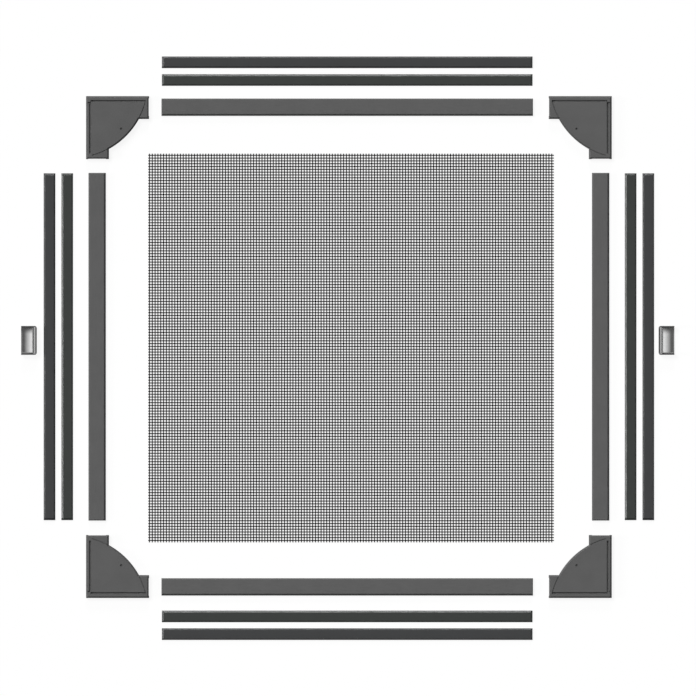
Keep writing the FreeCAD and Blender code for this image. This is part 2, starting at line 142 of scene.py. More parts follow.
def add_node(tree: NodeTree, kind: str, inputs: dict | None = None,
             **settings: str) -> Node:
    """Add a node with its settings and its inputs.

    Args:
        tree: the node tree to add to.
        kind: the node's type name without the ShaderNode part.
        inputs: socket name or number to a value, to an output socket that is linked to it,
            or to a node, whose first output in use is linked.
        settings: attributes of the node.

    Returns:
        The new node.
    """
    node = tree.nodes.new(f"ShaderNode{kind}")
    for name, setting in settings.items():
        setattr(node, name, setting)
    for name, given in (inputs or {}).items():
        if isinstance(given, Node):
            given = next(output for output in given.outputs if output.enabled)
        if isinstance(given, NodeSocket):
            tree.links.new(given, node.inputs[name])
        else:
            node.inputs[name].default_value = given
    return node


def new_material(name: str) -> tuple[Material, NodeTree]:
    """Make a material.

    Args:
        name: its name.

    Returns:
        The material and its node tree, which is empty.
    """
    material = bpy.data.materials.new(name)
    material.use_nodes = True
    material.node_tree.nodes.clear()
    return material, material.node_tree


@dataclass(frozen=True)
class SatinPlastic:
    """Plastic or rubber from a die or a mould, satin under a fine grain.

    The eye sees an even dark grey with a slight mottle, lighter where edges are rubbed,
    and a soft sheen that the grain breaks up.

    Attributes:
        name: the material's name.
        colour: sRGB hex of the surface.
        roughness: mean roughness of a flat face.
        swing: how far the grain moves the roughness up and down.
        polish: by how much a slope is less rough than a flat face.
        specular: specular level of the shader.
        grain_mm: length and width of one grain, longer where a die drags it along. Real
            grain is about a tenth of a millimetre wide, and is drawn coarser so that it shows.
        grain_depth_mm: height of the grain.
        mottle_mm: width of the patches where the pigment is uneven.
        mottle: share by which the brightness varies between patches.
        grain_share: the grain's part of that, the patches having the rest.
        rub: share by which rubbed edges are lighter.
    """

    name: str
    colour: str
    roughness: float = 0.6
    swing: float = 0.08
    polish: float = 0.0
    specular: float = 0.15
    grain_mm: tuple[float, float] = (0.5, 0.5)
    grain_depth_mm: float = 0.03
    mottle_mm: float = 16.0
    mottle: float = 0.06
    grain_share: float = 0.7
    rub: float = 0.15

    def material(self, along_y: bool = False) -> Material:
        """Build the material.

        Args:
            along_y: True for a piece that ran through its die along Y.

        Returns:
            The material, whose noise in Object coordinates drives tone, roughness and bump.
        """
        material, tree = new_material(f"{self.name}_{'y' if along_y else 'x'}")
        place = add_node(tree, "TexCoord").outputs["Object"]
        along, across = per_mm(self.grain_mm[0]), per_mm(self.grain_mm[1])
        stretched = add_node(tree, "Mapping", {
            "Vector": place,
            "Scale": (across, along, across) if along_y else (along, across, across),
        })
        grain = add_node(tree, "TexNoise", {
            "Vector": stretched, "Scale": 1.0, "Detail": 3.0, "Roughness": 0.6,
        })
        patches = add_node(tree, "TexNoise", {
            "Vector": place, "Scale": per_mm(self.mottle_mm), "Detail": 2.0,
        })
        stirred = add_node(tree, "Mix", {"Factor": self.grain_share, "A": patches, "B": grain})
        spread = add_node(tree, "MapRange", {
            "Value": stirred, "From Min": MIXED_SPAN[0], "From Max": MIXED_SPAN[1],
        })
        tone = add_node(tree, "Mix", {
            "Factor": spread, "A": shade(self.colour, -self.mottle),
            "B": shade(self.colour, self.mottle),
        }, data_type="RGBA")
        form = add_node(tree, "NewGeometry")
        worn = add_node(tree, "MapRange", {
            "Value": form.outputs["Pointiness"], "From Min": WEAR_SPAN[0],
            "From Max": WEAR_SPAN[1],
        })
        patchy = add_node(tree, "Math", {0: worn, 1: patches}, operation="MULTIPLY")
        finish = add_node(tree, "Mix", {
            "Factor": patchy, "A": tone, "B": shade(self.colour, self.rub),
        }, data_type="RGBA")
        rough = add_node(tree, "MapRange", {
            "Value": grain, "From Min": NOISE_SPAN[0], "From Max": NOISE_SPAN[1],
            "To Min": self.roughness - self.swing, "To Max": self.roughness + self.swing,
        })
        normal = add_node(tree, "SeparateXYZ", {"Vector": form.outputs["Normal"]})
        slope = add_node(tree, "MapRange", {
            "Value": normal.outputs["Z"], "From Min": SLOPE_SPAN[0], "From Max": SLOPE_SPAN[1],
            "To Max": self.polish,
        })
        slick = add_node(tree, "Math", {0: rough, 1: slope}, operation="SUBTRACT")
        bump = add_node(tree, "Bump", {"Height": grain, "Distance": self.grain_depth_mm * MM})
        shader = add_node(tree, "BsdfPrincipled", {
            "Base Color": finish, "Roughness": slick, "Normal": bump,
            "Specular IOR Level": self.specular,
        })
        add_node(tree, "OutputMaterial", {"Surface": shader})
        return material


@dataclass(frozen=True)
class ChromePlate:
    """Bright chrome on moulded ABS: a mirror with the faint ripple of the moulding.

    The eye sees the room in it: grey from above, white from the sides, dark in the folds.

    Attributes:
        name: the material's name.
        colour: sRGB hex of the metal.
        roughness: roughness of the plate.
        swing: least and greatest share of that roughness.
        smear_mm: width of the smears that vary it.
        ripple_mm: width of the moulding's ripples.
        ripple_depth_mm: their height.
    """

    name: str
    colour: str = "dedede"
    roughness: float = 0.16
    swing: tuple[float, float] = (0.75, 1.35)
    smear_mm: float = 1.5
    ripple_mm: float = 6.0
    ripple_depth_mm: float = 0.05

    def material(self) -> Material:
        """Build the material: full metal whose roughness and normal soft noise stirs."""
        material, tree = new_material(self.name)
        place = add_node(tree, "TexCoord").outputs["Object"]
        ripple = add_node(tree, "TexNoise", {
            "Vector": place, "Scale": per_mm(self.ripple_mm), "Detail": 2.0,
        })
        smear = add_node(tree, "TexNoise", {
            "Vector": place, "Scale": per_mm(self.smear_mm), "Detail": 4.0,
        })
        rough = add_node(tree, "MapRange", {
            "Value": smear, "From Min": NOISE_SPAN[0], "From Max": NOISE_SPAN[1],
            "To Min": self.roughness * self.swing[0], "To Max": self.roughness * self.swing[1],
        })
        bump = add_node(tree, "Bump", {"Height": ripple, "Distance": self.ripple_depth_mm * MM})
        shader = add_node(tree, "BsdfPrincipled", {
            "Base Color": srgb(self.colour), "Metallic": 1.0, "Roughness": rough,
            "Normal": bump,
        })
        add_node(tree, "OutputMaterial", {"Surface": shader})
        return material


@dataclass(frozen=True)
class FoamTape:
    """White double-sided foam tape, dull, with small cells at its cut edges.

    Attributes:
        name: the material's name.
        colour: sRGB hex of the foam.
        roughness: roughness of the foam.
        cell_mm: width of one cell.
        cell_depth_mm: its depth.
        cell_shade: share by which its middle is darker.
    """

    name: str
    colour: str = "dcdcd8"
    roughness: float = 0.9
    cell_mm: float = 0.5
    cell_depth_mm: float = 0.04
    cell_shade: float = 0.15

    def material(self) -> Material:
        """Build the material: cells in Object coordinates give shade and bump."""
        material, tree = new_material(self.name)
        place = add_node(tree, "TexCoord").outputs["Object"]
        cells = add_node(tree, "TexVoronoi", {"Vector": place, "Scale": per_mm(self.cell_mm)})
        tone = add_node(tree, "Mix", {
            "Factor": cells, "A": shade(self.colour, -self.cell_shade), "B": srgb(self.colour),
        }, data_type="RGBA")
        bump = add_node(tree, "Bump", {"Height": cells, "Distance": self.cell_depth_mm * MM})
        shader = add_node(tree, "BsdfPrincipled", {
            "Base Color": tone, "Roughness": self.roughness, "Normal": bump,
        })
        add_node(tree, "OutputMaterial", {"Surface": shader})
        return material


@dataclass(frozen=True)
class CoatedYarn:
    """Black vinyl-coated glass yarn, woven: satin, a little uneven along its length.

    Attributes:
        name: the material's name.
        colour: sRGB hex of the coating.
        mottle: share by which its brightness varies.
        roughness: mean roughness of the coating.
        swing: how far that moves up and down.
        specular: specular level of the shader.
        bead_mm: spacing of the coating's swells.
        bead_depth_mm: their height.
    """

    name: str
    colour: str = "070707"
    mottle: float = 0.5
    roughness: float = 0.6
    swing: float = 0.1
    specular: float = 0.1
    bead_mm: float = 1.1
    bead_depth_mm: float = 0.02

    def material(self) -> Material:
        """Build the material: noise finer than a crossing varies tone and roughness."""
        material, tree = new_material(self.name)
        place = add_node(tree, "TexCoord").outputs["Object"]
        beads = add_node(tree, "TexNoise", {
            "Vector": place, "Scale": per_mm(self.bead_mm), "Detail": 2.0,
        })
        tone = add_node(tree, "Mix", {
            "Factor": beads, "A": shade(self.colour, -self.mottle),
            "B": shade(self.colour, self.mottle),
        }, data_type="RGBA")
        rough = add_node(tree, "MapRange", {
            "Value": beads, "To Min": self.roughness - self.swing,
            "To Max": self.roughness + self.swing,
        })
        bump = add_node(tree, "Bump", {"Height": beads, "Distance": self.bead_depth_mm * MM})
        shader = add_node(tree, "BsdfPrincipled", {
            "Base Color": tone, "Roughness": rough, "Normal": bump,
            "Specular IOR Level": self.specular,
        })
        add_node(tree, "OutputMaterial", {"Surface": shader})
        return material


# Unplasticised PVC drawn through a die: fine lines run along it, so light lies in streaks
RAIL_PVC = SatinPlastic("extruded_rail_pvc", "595959", grain_mm=(12.0, 0.35))
# ABS from a spark-eroded mould: an even, pebbled grain that dulls the light all over
CAP_ABS = SatinPlastic("spark_moulded_cap_abs", "565656", grain_depth_mm=0.05)
# Ferrite-filled rubber from a die: darker than the rails and dull on its face, with slopes
# that the die has polished, so a line of light runs along each
FRAME_MAGNET = SatinPlastic("extruded_ferrite_rubber_green_grey", "313432", roughness=0.68,
                            polish=0.36, specular=0.27, grain_mm=(9.0, 0.35),
                            grain_depth_mm=0.012)
# The same rubber from another batch: a little bluer, with a shinier round edge
WINDOW_MAGNET = SatinPlastic("extruded_ferrite_rubber_grey", "2f3031", roughness=0.68,
                             polish=0.36, specular=0.37, grain_mm=(9.0, 0.35),
                             grain_depth_mm=0.012)
# Chrome over moulded ABS: the room is seen in it, bent by the scoop
HANDLE_CHROME = ChromePlate("chrome_plated_handle_abs")
# Glass yarn dipped in black vinyl and woven: near black, with a dull shine on each crown
MESH_YARN = CoatedYarn("vinyl_coated_glass_yarn")
# Polyethylene foam with adhesive on both faces: chalky white, seen only at its cut edge
TAPE_FOAM = FoamTape("closed_cell_foam_tape")


def dress(node: str, material: Material) -> None:
    """Give a CAD node one material in place of its own.

    Args:
        node: the node's name.
        material: its new material.
    """
    data = frame["nodes"][node].data
    data.materials.clear()
    data.materials.append(material)


def add_piece(name: str, points: np.ndarray, faces: np.ndarray, material: Material,
              caps: list[list[int]] | None = None) -> Object:
    """Args:
        name: the piece's name.
        points: vertex places, shape (n, 3), in metres.
        faces: vertex numbers of the quads, shape (m, 4).
        material: its material.
        caps: faces with more sides than four, which close the ends.

    Returns:
        The new object, at the origin, with its place in its mesh.
    """
    data = bpy.data.meshes.new(name)
    data.from_pydata(points.tolist(), [], faces.tolist() + (caps or []))
    data.polygons.foreach_set("use_smooth", np.ones(len(data.polygons), dtype=bool))
    data.materials.append(material)
    data.update()
    piece = bpy.data.objects.new(name, data)
    bpy.context.scene.collection.objects.link(piece)
    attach(piece, BODY)
    return piece


def turn_outwards(piece: Object) -> None:
    """Point every face of a closed piece outwards.

    Args:
        piece: the piece, whose mesh is changed.
    """
    shell = bmesh.new()
    shell.from_mesh(piece.data)
    bmesh.ops.recalc_face_normals(shell, faces=shell.faces)
    shell.to_mesh(piece.data)
    shell.free()


def keep_faces_flat(piece: Object) -> None:
    """Let the large faces of a smooth piece set the shading at its rounded edges.

    Args:
        piece: the piece, which gets a modifier.
    """
    weights = piece.modifiers.new("flat_faces", "WEIGHTED_NORMAL")
    weights.mode = "FACE_AREA"


def rounded(corners: np.ndarray, radii: np.ndarray, steps: int = 4) -> np.ndarray:
    """Round the corners of a closed outline.

    At corner c with unit directions u and v to its neighbours and half-angle a between
    them, the arc of radius r starts at c + u*t and ends at c + v*t with t = r/tan(a). Its
    points are centre + r*direction, turned evenly from one end to the other.

    Args:
        corners: shape (n, 2).
        radii: shape (n,), 0 for a corner that stays sharp.
        steps: points on each arc.

    Returns:
        The outline's points, shape (n * steps, 2).
    """
    before = np.roll(corners, 1, axis=0) - corners
    after = np.roll(corners, -1, axis=0) - corners
    u = before / np.linalg.norm(before, axis=1, keepdims=True)
    v = after / np.linalg.norm(after, axis=1, keepdims=True)
    half = np.arccos(np.clip((u * v).sum(axis=1), -1, 1)) / 2
    reach = np.maximum(radii, SHARP) / np.tan(half)
    middle = (u + v) / np.linalg.norm(u + v, axis=1, keepdims=True)
    centre = corners + middle * (np.maximum(radii, SHARP) / np.sin(half))[:, None]
    start = corners + u * reach[:, None] - centre
    end = corners + v * reach[:, None] - centre
    first = np.arctan2(start[:, 1], start[:, 0])
    turn = (np.arctan2(end[:, 1], end[:, 0]) - first + math.pi) % (2 * math.pi) - math.pi
    angles = first[:, None] + turn[:, None] * np.linspace(0, 1, steps)[None, :]
    size = np.linalg.norm(start, axis=1)[:, None]
    ring = np.stack((centre[:, :1] + size * np.cos(angles),
                     centre[:, 1:] + size * np.sin(angles)), axis=-1)
    return ring.reshape(-1, 2)


@dataclass
class Profile:
    """An extruded profile with sloped ends, lying along one side of the layout.

    The section is given from its far side (0) to its near side (width), and z up from its
    own foot. The near side faces up the page or to the left, where the light comes from.

    Attributes:
        corners: the section's corners in millimetres, anticlockwise with the near side right.
        radii: how far each corner is rounded, in millimetres.
        end_run_mm: how far the slope at each end reaches along the piece.
        end_drop_mm: how far that slope comes down from the face.
    """

    corners: list[tuple[float, float]]
    radii: list[float]
    end_run_mm: float
    end_drop_mm: float

    def build(self, node: str, side: Side, material: Material,
              slot: str) -> Object:
        """Carry the section from end to end of a node and close both ends.

        At distance d from an end no point is higher than height - drop + drop*d/run, so
        the face and the long edges run down into the end's slope. The cross-sections lie
        close together where the slope meets the face.

        Args:
            node: the CAD node that the piece replaces.
            side: the side of the layout that it lies on.
            material: its material.
            slot: not used.

        Returns:
            The piece.
        """
        low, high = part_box(node)
        ring = rounded(np.array(self.corners), np.array(self.radii)) * MM
        length = (high.y - low.y) if side.upright else (high.x - low.x)
        height = ring[:, 1].max()
        run, drop = self.end_run_mm * MM, self.end_drop_mm * MM
        near_end = np.append(np.array(END_SHARES) * run, 2 * run + MM)
        stations = np.concatenate((near_end, length / 2 + np.array(MIDDLE_SHARES) * length,
                                   length - near_end[::-1]))
        distance = np.minimum(stations, length - stations)
        cap = height - drop + drop * np.clip(distance / run, 0, 1)
        z = ring[:, 1].min() + np.minimum(ring[None, :, 1], cap[:, None])
        shape = z.shape
        across = np.broadcast_to(ring[None, :, 0], shape)
        along = np.broadcast_to(stations[:, None], shape)
        if side.upright:
            points = np.stack((high.x - across, low.y + along, low.z + z), axis=-1)
        else:
            points = np.stack((low.x + along, low.y + across, low.z + z), axis=-1)
        number = np.arange(z.size).reshape(shape)
        rolled = np.roll(number, -1, axis=1)
        walls = np.stack((number[:-1], number[1:], rolled[1:], rolled[:-1]), axis=-1)
        caps = [number[0].tolist(), number[-1, ::-1].tolist()]
        piece = add_piece(f"{node}_profile", points.reshape(-1, 3), walls.reshape(-1, 4),
                          material, caps)
        turn_outwards(piece)
        keep_faces_flat(piece)
        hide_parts(node)
        return piece


@dataclass
class Rails:
    """Four channelled rails, open underneath for their magnet strips.

    Attributes:
        width_mm, height_mm: size of the section.
        near_bevel_mm, far_bevel_mm: width of the bevel along each side.
        bevel_drop_mm: how far both bevels come down.
        flange_mm: width of the foot on each side of the channel.
        channel_depth_mm: height of the channel.
        lead_mm: size of the chamfer that leads a strip into the channel.
        end_run_mm, end_drop_mm: length and height of the slope at each end.
        edge_mm: rounding of the upper edges.
        foot_edge_mm: rounding of the feet's outer edges and of the channel's corners.
        lead_edge_mm: rounding of that chamfer's edges.
    """

    width_mm: float = 17.35
    height_mm: float = 5.0
    near_bevel_mm: float = 1.1
    far_bevel_mm: float = 1.8
    bevel_drop_mm: float = 2.8
    flange_mm: float = 2.625
    channel_depth_mm: float = 2.6
    lead_mm: float = 0.5
    end_run_mm: float = 0.9
    end_drop_mm: float = 1.8
    edge_mm: float = 0.45
    foot_edge_mm: float = 0.2
    lead_edge_mm: float = 0.1

    def section(self) -> Profile:
        """The rail's section, anticlockwise from its far foot.

        Returns:
            The profile, with four corners at each foot and four above them.
        """
        w, h, f, d = self.width_mm, self.height_mm, self.flange_mm, self.channel_depth_mm
        shoulder = h - self.bevel_drop_mm
        corners = [
            (0, 0), (f - self.lead_mm, 0), (f, self.lead_mm), (f, d), (w - f, d),
            (w - f, self.lead_mm), (w - f + self.lead_mm, 0), (w, 0), (w, shoulder),
            (w - self.near_bevel_mm, h), (self.far_bevel_mm, h), (0, shoulder),
        ]
        foot, lead = self.foot_edge_mm, self.lead_edge_mm
        radii = [foot, lead, lead, foot] * 2 + [self.edge_mm] * 4
        return Profile(corners, radii, self.end_run_mm, self.end_drop_mm)

    def build(self) -> list[Object]:
        """Lay the four rails.

        Returns:
            The rails.
        """
        section = self.section()
        finish = {upright: RAIL_PVC.material(upright) for upright in (False, True)}
        return [section.build(f"rail_{side.value}", side, finish[side.upright], "rail_pvc")
                for side in Side]


@dataclass
class MagnetStrips:
    """Eight magnet strips: bevelled ones for the rails, round-edged ones for the window.

    Attributes:
        width_mm, thick_mm: size of the section.
        near_bevel_mm, near_drop_mm: width and height of the near bevel.
        far_bevel_mm, far_drop_mm: the same of the far bevel.
        bead_mm: radius of the window strips' near edge.
        end_run_mm, end_drop_mm: length and height of the slope at each end.
        edge_mm: rounding of the upper edges.
        foot_edge_mm: rounding of the far and of the near lower edge.
        shoulder_edge_mm: rounding of the far bevel's foot.
    """

    width_mm: float = 11.7
    thick_mm: float = 2.4
    near_bevel_mm: float = 2.0
    near_drop_mm: float = 1.2
    far_bevel_mm: float = 1.5
    far_drop_mm: float = 1.8
    bead_mm: float = 2.1
    end_run_mm: float = 2.0
    end_drop_mm: float = 1.0
    edge_mm: float = 0.35
    foot_edge_mm: tuple[float, float] = (0.1, 0.15)
    shoulder_edge_mm: float = 0.2

    def frame_section(self) -> Profile:
        """The section of a strip that lies in a rail.

        Returns:
            The profile, with two plain bevels.
        """
        w, t = self.width_mm, self.thick_mm
        corners = [(0, 0), (w, 0), (w, t - self.near_drop_mm), (w - self.near_bevel_mm, t),
                   (self.far_bevel_mm, t), (0, t - self.far_drop_mm)]
        radii = [*self.foot_edge_mm, *[self.edge_mm] * 3, self.shoulder_edge_mm]
        return Profile(corners, radii, self.end_run_mm, self.end_drop_mm)

    def window_section(self) -> Profile:
        """The section of a strip that is stuck to the window.

        Returns:
            The profile, with a round near edge.
        """
        w, t = self.width_mm, self.thick_mm
        corners = [(0, 0), (w, 0), (w, t), (self.far_bevel_mm, t), (0, t - self.far_drop_mm)]
        radii = [*self.foot_edge_mm, self.bead_mm, self.edge_mm, self.shoulder_edge_mm]
        return Profile(corners, radii, self.end_run_mm, self.end_drop_mm)

    def build(self) -> list[Object]:
        """Lay both strips of each side, and dress their adhesive.

        Returns:
            The strips.
        """
        made = []
        tape = TAPE_FOAM.material()
        kinds = (("frame_magnet", self.frame_section(), FRAME_MAGNET),
                 ("window_magnet", self.window_section(), WINDOW_MAGNET))
        for name, section, rubber in kinds:
            finish = {upright: rubber.material(upright) for upright in (False, True)}
            made += [section.build(f"{name}_{side.value}", side, finish[side.upright], name)
                     for side in Side]
        for side in Side:
            dress(f"adhesive_{side.value}", tape)
        return made


@dataclass
class CornerCaps:
    """Four corner caps, whose moulded edges are a little rounded.

    Attributes:
        edge_mm: rounding of the edges.
        edge_steps: facets of that rounding.
        sharp_deg: least angle between two faces whose edge is rounded.
        merge_mm: distance below which two points of the node's mesh are one.
        flat_deg: angle below which two of its triangles are one face.
    """

    edge_mm: float = 0.3
    edge_steps: int = 2
    sharp_deg: float = 24.0
    merge_mm: float = 0.005
    flat_deg: float = 0.5

    def build(self) -> list[Object]:
        """Lay the four caps.

        Returns:
            The caps.
        """
        finish = CAP_ABS.material()
        return [self._cap(f"corner_{upper.value}_{lateral.value}", finish)
                for upper in (Side.TOP, Side.BOTTOM) for lateral in (Side.LEFT, Side.RIGHT)]

    def _cap(self, node: str, finish: Material) -> Object:
        """Make one cap from a merged copy of its node, with its edges rounded.

        Args:
            node: the CAD node that the cap replaces.
            finish: its material.

        Returns:
            The cap.
        """
        data = frame["nodes"][node].data.copy()
        data.name = f"{node}_shell"
        shell = bmesh.new()
        shell.from_mesh(data)
        bmesh.ops.remove_doubles(shell, verts=shell.verts, dist=self.merge_mm * MM)
        bmesh.ops.dissolve_limit(shell, angle_limit=math.radians(self.flat_deg),
                                 verts=shell.verts, edges=shell.edges)
        bmesh.ops.recalc_face_normals(shell, faces=shell.faces)
        shell.to_mesh(data)
        shell.free()
        data.materials.clear()
        data.materials.append(finish)
        cap = bpy.data.objects.new(f"{node}_shell", data)
        bpy.context.scene.collection.objects.link(cap)
        data.polygons.foreach_set("use_smooth", np.ones(len(data.polygons), dtype=bool))
        rounding = cap.modifiers.new("edges", "BEVEL")
        rounding.width = self.edge_mm * MM
        rounding.segments = self.edge_steps
        rounding.limit_method = "ANGLE"
        rounding.angle_limit = math.radians(self.sharp_deg)
        rounding.use_clamp_overlap = True
        keep_faces_flat(cap)
        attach(cap, BODY)
        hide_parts(node)
        return cap


@dataclass(frozen=True)
class Row:
    """A row of parallel yarns.

    Attributes:
        count: how many there are.
        pitch_mm: distance from one to the next.
        shift_mm: how far their middle lies from the cloth's.
    """

    count: int
    pitch_mm: float
    shift_mm: float

    def stations(self, low: float, high: float) -> np.ndarray:
        """Middle lines of the yarns of a cloth that reaches from low to high."""
        steps = np.arange(self.count) - (self.count - 1) / 2
        return (low + high) / 2 + (self.shift_mm + steps * self.pitch_mm) * MM


@dataclass
class InsectMesh:
    """The woven mesh: warp yarns up it and weft yarns across it, over and under in turn.

    Attributes:
        node: the CAD node that both directions replace.
        warp, weft: the two rows of yarns.
        yarn_width_mm, yarn_thick_mm: size of a yarn's section.
        lift_mm: how far a yarn rises and sinks at its crossings.
        sides: sides of that section.
    """

    node: str = "screen_mesh"
    warp: Row = Row(144, 2.8137, -0.44)
    weft: Row = Row(138, 2.8117, 0.15)
    yarn_width_mm: float = 1.07
    yarn_thick_mm: float = 0.54
    lift_mm: float = 0.30
    sides: int = 4

    def weave(self, yarn: Yarn) -> tuple[np.ndarray, np.ndarray]:
        """All the yarns of one direction as closed tubes.

        Yarn i passes its crossing j at the height middle + lift * (-1)^(i + j), and the
        other direction takes the opposite sign, so each goes over and under in turn. The
        section has a corner at each angle a, at across = reach * width * cos(a) and
        up = reach * thickness * sin(a), and reach is 1/2 / cos(pi/sides), so that its flat
        sides are as far apart as the yarn is wide and thick.

        Args:
            yarn: the direction.

        Returns:
            Vertex places and quads.
        """
        low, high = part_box(self.node)
        xs, ys = self.warp.stations(low.x, high.x), self.weft.stations(low.y, high.y)
        across, along, start, end = ((xs, ys, low.y, high.y) if yarn is Yarn.WARP
                                     else (ys, xs, low.x, high.x))
        sign = 1 if yarn is Yarn.WARP else -1
        parity = (np.arange(len(across))[:, None] + np.arange(len(along))[None, :]) % 2
        flat = np.zeros((len(across), 1))
        rise = np.concatenate((flat, np.where(parity, -1, 1), flat), axis=1)
        line = np.concatenate(([start], along, [end]))
        middle = (low.z + high.z) / 2 + sign * self.lift_mm * MM * rise
        angle = (np.arange(self.sides) + 0.5) * 2 * math.pi / self.sides
        reach = MM / 2 / math.cos(math.pi / self.sides)
        side = self.yarn_width_mm * reach * np.cos(angle)
        up = self.yarn_thick_mm * reach * np.sin(angle)
        shape = (len(across), len(line), self.sides)
        first = np.broadcast_to(across[:, None, None] + side[None, None, :], shape)
        second = np.broadcast_to(line[None, :, None], shape)
        third = middle[:, :, None] + up[None, None, :]
        order = (first, second, third) if yarn is Yarn.WARP else (second, first, third)
        number = np.arange(first.size).reshape(shape)
        rolled = np.roll(number, -1, axis=2)
        walls = np.stack((number[:, :-1], rolled[:, :-1], rolled[:, 1:], number[:, 1:]),
                         axis=-1)
        quads = np.concatenate((walls.reshape(-1, 4), number[:, 0, ::-1], number[:, -1]))
        return np.stack(order, axis=-1).reshape(-1, 3), quads[:, ::-1] if sign > 0 else quads

    def build(self) -> list[Object]:
        """Weave both directions.

        Returns:
            The warp yarns and the weft yarns.
        """
        finish = MESH_YARN.material()
        made = []
        for yarn in Yarn:
            points, quads = self.weave(yarn)
            piece = add_piece(f"mesh_{yarn.value}_yarns", points, quads, finish)
            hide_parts(self.node)
            made.append(piece)
        return made


@dataclass
class PullHandles:
    """Two chrome finger scoops, each open on its outer side, on foam pads.

    Lengths run from the open side (x = 0) to the rim's outer side (x = width).

    Attributes:
        width_mm, length_mm, height_mm: size of a handle without its pad.
        floor_mm: thickness under the scoop's lowest line.
        scoop_radius_mm, scoop_middle_mm: the scoop's radius and the place of that line.
        rim_mm, side_wall_mm: width of the rim and of each end wall.
        corner_mm, pad_corner_mm: the outline's radius at the rim, and the pad's elsewhere.
        edge_mm, inner_run_mm: width of the rim's outer and inner bevel.
        outer_slope, inner_slope, crest_slope, wall_slope: fall for each millimetre.
        spoon_run_mm, spoon_rise_mm: how long and how high the scoop's ends rise.
        spoon_limit: how far under the end walls that rise goes on, as a share of its run.
        fold_mm: how softly two slopes meet.
        rows, columns: points along the handle and across it.
        end_easing, rim_easing: powers below 1 that draw those points to the ends and the rim.
        pad_steps: points on each corner of a pad.
    """

    width_mm: float = 15.8
    length_mm: float = 29.0
    height_mm: float = 8.0
    floor_mm: float = 1.4
    scoop_radius_mm: float = 18.0
    scoop_middle_mm: float = 2.5
    rim_mm: float = 2.65
    side_wall_mm: float = 1.8
    corner_mm: float = 2.2
    pad_corner_mm: float = 0.5
    edge_mm: float = 1.4
    inner_run_mm: float = 1.15
    outer_slope: float = 0.8
    inner_slope: float = 0.8
    crest_slope: float = 0.19
    wall_slope: float = 8.0
    spoon_run_mm: float = 6.5
    spoon_rise_mm: float = 1.1
    spoon_limit: float = 1.2
    fold_mm: float = 0.03
    rows: int = 170
    columns: int = 100
    end_easing: float = 0.75
    rim_easing: float = 0.9
    pad_steps: int = 6

    def margin(self, x: np.ndarray, y: np.ndarray) -> np.ndarray:
        """Distance from a point of the foot to the outline, apart from the open side.

        Near the rim the outline's corners are arcs of radius c, and there the distance is
        c less the distance from the arc's centre.

        Args:
            x: millimetres from the open side.
            y: millimetres from the middle of the length.

        Returns:
            The distance in millimetres.
        """
        past_x = x - (self.width_mm - self.corner_mm)
        past_y = np.abs(y) - (self.length_mm / 2 - self.corner_mm)
        corner = self.corner_mm - np.hypot(past_x, past_y)
        plain = np.minimum(self.width_mm - x, self.length_mm / 2 - np.abs(y))
        return np.where((past_x > 0) & (past_y > 0), corner, plain)

    def soft_min(self, *heights: np.ndarray) -> np.ndarray:
        """The least of several heights, -k*log(sum(exp(-z/k))), so that edges are rounded.

        Args:
            heights: the heights in millimetres.

        Returns:
            Their least, with k as the reach of the rounding.
        """
        k = self.fold_mm
        least = np.minimum.reduce(np.broadcast_arrays(*heights))
        total = sum(np.exp(-(height - least) / k) for height in heights)
        return least - k * np.log(total)

    def surface(self, x: np.ndarray, y: np.ndarray) -> np.ndarray:
        """Height of the upper surface over a point of the foot.

        The scoop is a round trough, floor + R - sqrt(R^2 - (x - middle)^2), level beyond the
        rim's foot. Like a spoon's, its ends rise by rise*t^2 over the last part t of it. The
        rim is the least of an outer bevel, a crest that falls a little towards the scoop,
        an inner bevel and a steep wall. Each end wall is a ridge between two bevels with a
        steep wall inside. The greatest of scoop, rim and end walls counts.

        Args:
            x: millimetres from the open side.
            y: millimetres from the middle of the length.

        Returns:
            The height in millimetres.
        """
        r, w, h, b = self.scoop_radius_mm, self.width_mm, self.height_mm, self.edge_mm
        run = self.inner_run_mm
        end = self.length_mm / 2 - self.side_wall_mm
        spoon = np.clip((np.abs(y) - end + self.spoon_run_mm) / self.spoon_run_mm, 0,
                        self.spoon_limit)
        past = np.minimum(x, w - self.rim_mm - run) - self.scoop_middle_mm
        trough = self.floor_mm + r - np.sqrt(r ** 2 - past ** 2)
        floor = trough + self.spoon_rise_mm * spoon ** 2
        outer = h - (b - self.margin(x, y)) * self.outer_slope
        crest = h - (w - b - x) * self.crest_slope
        inner_x = w - self.rim_mm
        inner_z = h - (self.rim_mm - b) * self.crest_slope
        inner = inner_z - (inner_x - x) * self.inner_slope
        steep = inner_z - run * self.inner_slope - (inner_x - run - x) * self.wall_slope
        rim = self.soft_min(outer, crest, inner, steep)
        ridge = self.side_wall_mm / 2
        depth = self.length_mm / 2 - np.abs(y)
        outer_end = h - (ridge - self.margin(x, y)) * self.inner_slope
        inner_end = h - (depth - ridge) * self.inner_slope
        steep_end = h - ridge * self.inner_slope - (depth - self.side_wall_mm) * self.wall_slope
        wall = self.soft_min(outer_end, inner_end, steep_end)
        return np.maximum.reduce([floor, rim, wall])

